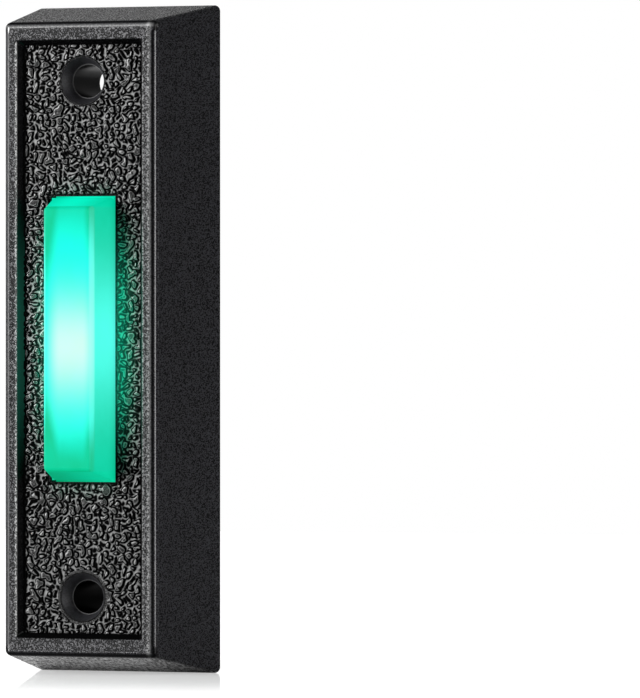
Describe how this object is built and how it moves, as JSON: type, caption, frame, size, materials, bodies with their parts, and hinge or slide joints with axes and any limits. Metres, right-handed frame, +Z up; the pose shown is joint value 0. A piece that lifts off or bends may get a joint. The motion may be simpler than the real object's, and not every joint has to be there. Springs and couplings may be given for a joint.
{
  "type": "doorbell push button",
  "caption": "Narrow doorbell push button for a door frame: black tapered plastic housing, textured recessed panel with countersunk holes, and a lit blue-green bar that presses in.",
  "frame": {"origin": "middle of the wall face, the open back of the housing, on the plane Y = 0", "axes": "X runs across the door frame, Y points into the wall, Z runs up the length of the button"},
  "size_m": [0.0228, 0.0161, 0.075],
  "materials": {
    "housing_plastic": "black moulded plastic with a fine spark-eroded grain",
    "bar_plastic": "translucent plastic, lit blue-green from behind",
    "spring_bronze": "springy phosphor bronze strip",
    "contact_silver": "polished silver contact points",
    "strip_brass": "stamped brass strip",
    "spring_steel": "bright spring wire",
    "base_plastic": "plain dark moulded plastic",
    "terminal_brass": "turned brass screws",
    "plated_steel": "zinc-plated steel",
    "board_laminate": "tan paper laminate",
    "lamp_epoxy": "clear tinted epoxy",
    "tinned_wire": "tinned copper wire",
    "resistor_coat": "dipped tan coating with coloured bands",
    "diode_epoxy": "black moulded epoxy with a pale band"
  },
  "bodies": {
    "housing": {"housing": "housing_plastic", "fixed_points": "contact_silver", "upper_contact_strip": "strip_brass", "lower_contact_strip": "strip_brass", "upper_return_spring": "spring_steel", "lower_return_spring": "spring_steel", "terminal_base": "base_plastic", "terminal_screws": "terminal_brass", "terminal_washers": "plated_steel", "base_screws": "plated_steel", "lamp_board": "board_laminate", "lamp_lens": "lamp_epoxy", "lamp_leads": "tinned_wire", "resistor_body": "resistor_coat", "resistor_leads": "tinned_wire", "diode_body": "diode_epoxy", "diode_leads": "tinned_wire"},
    "push_bar": {"push_bar": "bar_plastic", "bridge_contact": "spring_bronze", "bridge_points": "contact_silver"}
  },
  "joints": [
    {"name": "bar_press", "type": "slide", "parent": "housing", "child": "push_bar", "axis": [0, 1, 0], "range_m": [0, 0.0015], "stiffness_N_per_m": 800, "springref_m": -0.0025, "deforming": ["upper_return_spring", "lower_return_spring"]}
  ]
}
